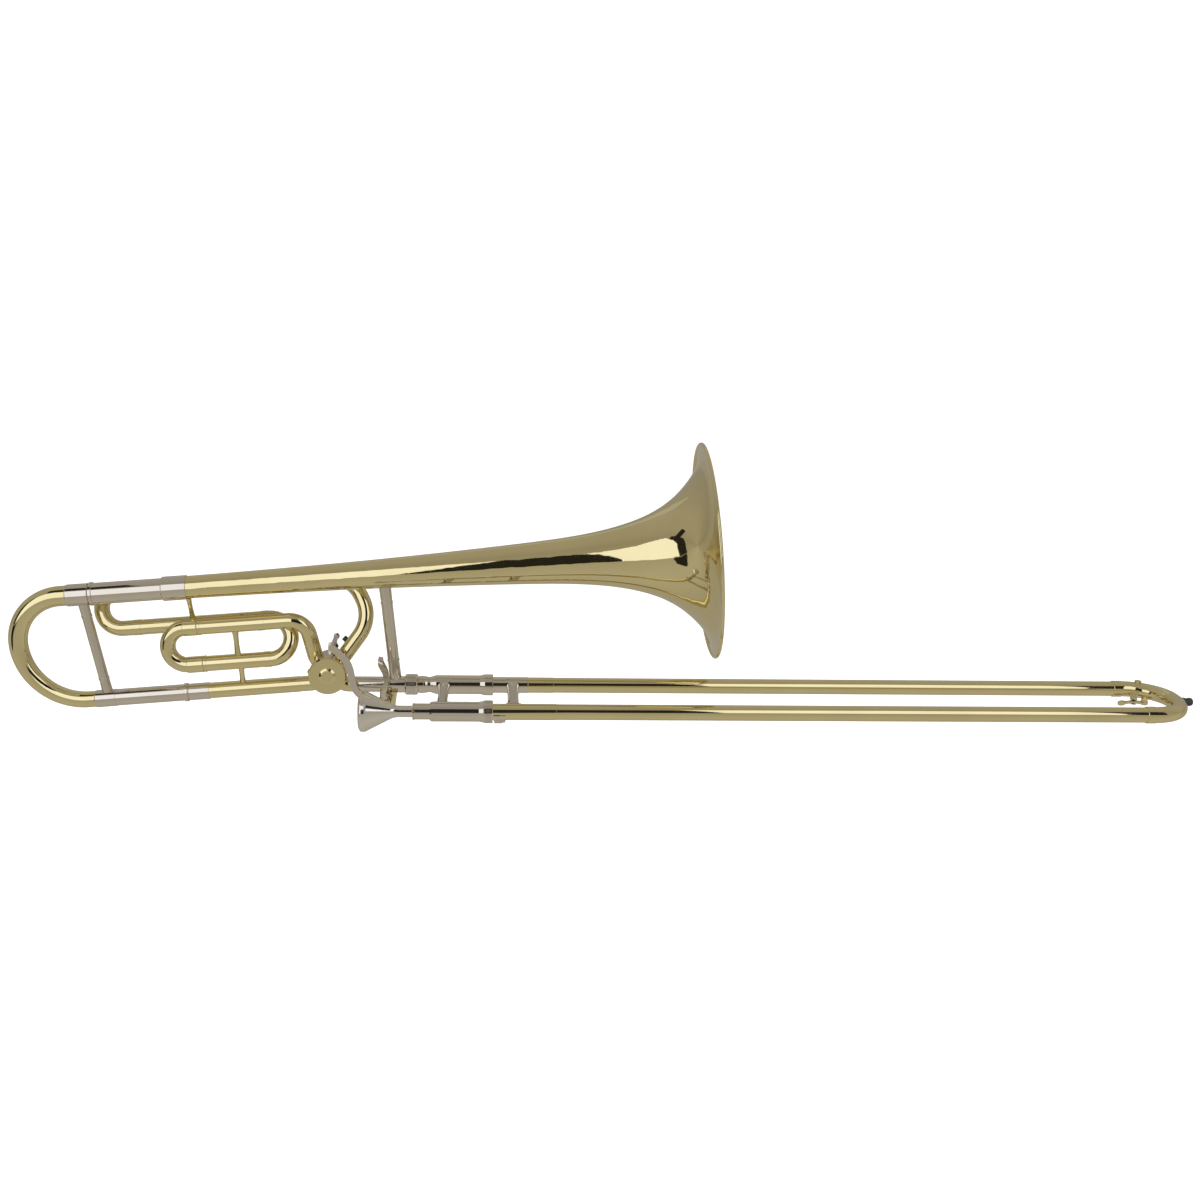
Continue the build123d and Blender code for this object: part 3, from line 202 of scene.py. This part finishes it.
def make_panels():
    black = glow_material("black_card", CARD_GLOW)
    hang(FRONT_PANELS, glow_material("softbox_glow", PANEL_GLOW), lambda x, z: (x, FRONT_Y, z))
    hang(FRONT_CARDS, black, lambda x, z: (x, FRONT_Y, z))
    hang(BACK_PANELS, glow_material("back_glow", BACK_GLOW), lambda x, z: (x, BACK_Y, z))
    hang(OVERHEAD_CARDS, black, lambda x, y: (x, y, OVERHEAD_Z))


def make_world():
    """Reflections see a room of greys graded round the X axis; all other rays see plain white."""
    world = bpy.data.worlds.new("studio")
    world.use_nodes = True
    bpy.context.scene.world = world
    kit = Nodes(world.node_tree)
    direction = kit.add("ShaderNodeTexCoord").outputs["Generated"]
    split = kit.add("ShaderNodeSeparateXYZ")
    kit.join(direction, split.inputs[0])
    y, z = split.outputs[1], split.outputs[2]
    around = kit.math("ARCTAN2", z, kit.math("MULTIPLY", y, -1.0))
    place = kit.math("ADD", kit.math("DIVIDE", around, 2 * math.pi), 0.5)
    room = kit.ramp(place, [((turn + 180) / 360, tuple(tone * part for part in WARM))
                            for turn, tone in ROOM_TONES])
    seen = kit.add("ShaderNodeLightPath")
    plain = kit.add("ShaderNodeMix", data_type="RGBA")
    kit.join(seen.outputs["Is Glossy Ray"], plain.inputs["Factor"])
    plain.inputs[6].default_value = (FLOOR_LIGHT, FLOOR_LIGHT, FLOOR_LIGHT, 1.0)  # colour A
    kit.join(room, plain.inputs[7])  # colour B
    background = kit.add("ShaderNodeBackground")
    kit.join(plain.outputs[2], background.inputs["Color"])
    output = kit.add("ShaderNodeOutputWorld")
    kit.join(background.outputs[0], output.inputs["Surface"])


def make_floor():
    low = cad_box[0].z - FLOOR_DROP
    reach = FLOOR_REACH
    mesh = bpy.data.meshes.new("floor")
    corners = [(-reach, -reach, low), (reach, -reach, low), (reach, reach, low), (-reach, reach, low)]
    mesh.from_pydata(corners, [], [(0, 1, 2, 3)])
    floor = bpy.data.objects.new("floor", mesh)
    bpy.context.scene.collection.objects.link(floor)
    floor.data.materials.append(plain_floor())
    floor.visible_glossy = False


def plain_floor():
    material = bpy.data.materials.new("pale_floor")
    material.use_nodes = True
    shader = material.node_tree.nodes["Principled BSDF"]
    shader.inputs["Base Color"].default_value = (0.93, 0.93, 0.93, 1.0)
    shader.inputs["Roughness"].default_value = 0.9
    shader.inputs["Specular IOR Level"].default_value = 0.0
    return material


def make_light(name, place, size, power):
    light = bpy.data.lights.new(name, "AREA")
    light.size = size
    light.energy = power
    lamp = bpy.data.objects.new(name, light)
    bpy.context.scene.collection.objects.link(lamp)
    lamp.location = place
    lamp.rotation_euler = (LIGHT_AIM - Vector(place)).to_track_quat("-Z", "Y").to_euler()
    lamp.visible_glossy = False
    lamp.visible_camera = False


# --- materials ----------------------------------------------------------------------------------
def start_material(name):
    material = bpy.data.materials.new(name)
    material.use_nodes = True
    kit = Nodes(material.node_tree)
    shader = kit.add("ShaderNodeBsdfPrincipled")
    output = kit.add("ShaderNodeOutputMaterial")
    kit.join(shader.outputs[0], output.inputs["Surface"])
    place = kit.add("ShaderNodeTexCoord").outputs["Object"]
    return material, kit, shader, place


def noise(kit, place, scale, detail=3.0, stretch=None):
    if stretch:
        mapping = kit.add("ShaderNodeMapping")
        mapping.inputs["Scale"].default_value = stretch
        kit.join(place, mapping.inputs["Vector"])
        place = mapping.outputs[0]
    node = kit.add("ShaderNodeTexNoise")
    node.inputs["Scale"].default_value = scale
    node.inputs["Detail"].default_value = detail
    kit.join(place, node.inputs["Vector"])
    return node.outputs["Fac"]


def bump(kit, shader, height, strength, distance):
    node = kit.add("ShaderNodeBump")
    node.inputs["Strength"].default_value = strength
    node.inputs["Distance"].default_value = distance
    kit.join(height, node.inputs["Height"])
    kit.join(node.outputs[0], shader.inputs["Normal"])


def polished(name, dark, light, rough_from, rough_to, coat, ripple):
    """Polished metal: cloudy tone, faint polishing lines, and a lacquer coat where it has one."""
    material, kit, shader, place = start_material(name)
    shader.inputs["Metallic"].default_value = 1.0
    shader.inputs["Coat Weight"].default_value = coat
    shader.inputs["Coat Roughness"].default_value = 0.03
    clouds = noise(kit, place, 14.0, 2.0)
    kit.join(kit.ramp(clouds, [(0.3, dark), (0.7, light)]), shader.inputs["Base Color"])
    lines = noise(kit, place, 60.0, 4.0, (1.0, 9.0, 9.0))
    rough = kit.add("ShaderNodeMapRange")
    kit.join(lines, rough.inputs["Value"])
    rough.inputs["From Min"].default_value = 0.3
    rough.inputs["From Max"].default_value = 0.7
    rough.inputs["To Min"].default_value = rough_from
    rough.inputs["To Max"].default_value = rough_to
    kit.join(rough.outputs["Result"], shader.inputs["Roughness"])
    bump(kit, shader, noise(kit, place, 110.0, 2.0), ripple, 0.0002)
    return material


def rubber():
    material, kit, shader, place = start_material("black_rubber")
    grain = noise(kit, place, 900.0, 5.0)
    tone = kit.ramp(grain, [(0.3, (0.008, 0.008, 0.009)), (0.75, (0.03, 0.03, 0.032))])
    kit.join(tone, shader.inputs["Base Color"])
    shader.inputs["Roughness"].default_value = 0.5
    bump(kit, shader, grain, 0.35, 0.0002)
    return material


def cork_felt():
    material, kit, shader, place = start_material("cork_felt")
    cells = kit.add("ShaderNodeTexVoronoi")
    cells.inputs["Scale"].default_value = 900.0
    kit.join(place, cells.inputs["Vector"])
    height = cells.outputs["Distance"]
    tone = kit.ramp(height, [(0.0, (0.16, 0.09, 0.045)), (0.6, (0.45, 0.31, 0.18))])
    kit.join(tone, shader.inputs["Base Color"])
    shader.inputs["Roughness"].default_value = 0.9
    bump(kit, shader, height, 0.6, 0.0003)
    return material


MATERIALS = {  # under the record's slot names
    "brass": polished("lacquered_brass", (0.77, 0.67, 0.37), (0.82, 0.72, 0.41), 0.03, 0.06, 0.3, 0.003),
    "nickel": polished(
        "nickel_silver", (0.70, 0.65, 0.57), (0.755, 0.705, 0.625), 0.04, 0.08, 0.0, 0.004,
    ),
    "silver": polished("silver_plate", (0.80, 0.765, 0.71), (0.86, 0.825, 0.775), 0.04, 0.08, 0.0, 0.01),
    "steel": polished("spring_steel", (0.36, 0.35, 0.34), (0.5, 0.49, 0.47), 0.18, 0.3, 0.0, 0.03),
    "rubber": rubber(),
    "felt": cork_felt(),
}


# --- springs, as bent wire in place of the CAD's plain rings --------------------------------------
STEPS_PER_TURN = 24
LEVER_WIRE = 0.0004  # radius of the wire, in metres as all below
LEVER_COILS = 5
LEVER_TAIL = 0.004
KEY_WIRE = 0.00022
KEY_COILS = 3
KEY_COIL_RADIUS = 0.0028
KEY_COIL_PITCH = 0.0005
KEY_COIL_OFFSET = 0.0026  # each coil's middle, from the middle of the key's barrel


def wire_spring(name, centre, axis, radius, wire, turns, pitch, tail):
    """Helical spring of round wire with a straight tail at each end, as one bevelled curve."""
    side = axis.orthogonal().normalized()
    other = axis.cross(side)
    steps = STEPS_PER_TURN * turns
    points = []
    for step in range(steps + 1):
        turn = 2 * math.pi * step / STEPS_PER_TURN
        rise = (step / steps - 0.5) * turns * pitch
        outward = side * math.cos(turn) + other * math.sin(turn)
        points.append(centre + axis * rise + outward * radius)
    points = [points[0] + other * tail] + points + [points[-1] - other * tail]
    curve = bpy.data.curves.new(name, "CURVE")
    curve.dimensions = "3D"
    curve.bevel_depth = wire
    curve.bevel_resolution = 3
    curve.use_fill_caps = True
    spline = curve.splines.new("POLY")
    spline.points.add(len(points) - 1)
    for point, place in zip(spline.points, points):
        point.co = (*place, 1.0)
    spring = bpy.data.objects.new(name, curve)
    bpy.context.scene.collection.objects.link(spring)
    curve.materials.append(MATERIALS["steel"])
    return spring


def make_lever_spring():
    """Torsion spring round the lever's pivot, as long and wide as the CAD's ring."""
    low, high = (Vector(corner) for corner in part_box("lever_spring"))
    pitch = (high.y - low.y - 2 * LEVER_WIRE) / LEVER_COILS
    radius = (high.x - low.x) / 2 - LEVER_WIRE
    spring = wire_spring("lever_torsion_spring", (low + high) / 2, Vector((0, 1, 0)), radius,
                         LEVER_WIRE, LEVER_COILS, pitch, LEVER_TAIL)
    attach(spring, "bell_section")
    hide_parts("lever_spring")


def make_water_key_springs():
    """Two short coils round the water key's barrel, one at each end."""
    joints = frame["record"]["behaviour"]["joints"]
    joint = next(joint for joint in joints if joint["name"] == "water_key_press")
    pivot = Vector(joint["pos_m"])
    axis = Vector(joint["axis"]).normalized()
    coils = []
    for side, name in ((-1, "water_key_coil_near"), (1, "water_key_coil_far")):
        coils.append(wire_spring(name, pivot + axis * side * KEY_COIL_OFFSET, axis, KEY_COIL_RADIUS,
                                 KEY_WIRE, KEY_COILS, KEY_COIL_PITCH, 0.0))
        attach(coils[-1], "water_key")
    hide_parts("water_key_spring")


def finish_nodes():
    """Give every CAD node the material of its slot in the record."""
    for part in frame["record"]["subparts"]:
        node = nodes[part["node"]]
        for slot in node.material_slots:
            slot.material = MATERIALS[part["material_slot"]]


make_camera()
make_world()
make_panels()
make_floor()
make_light("key_light", *KEY_LIGHT)
make_light("fill_light", *FILL_LIGHT)
finish_nodes()
make_lever_spring()
make_water_key_springs()

bpy.context.scene.view_settings.view_transform = "Standard"
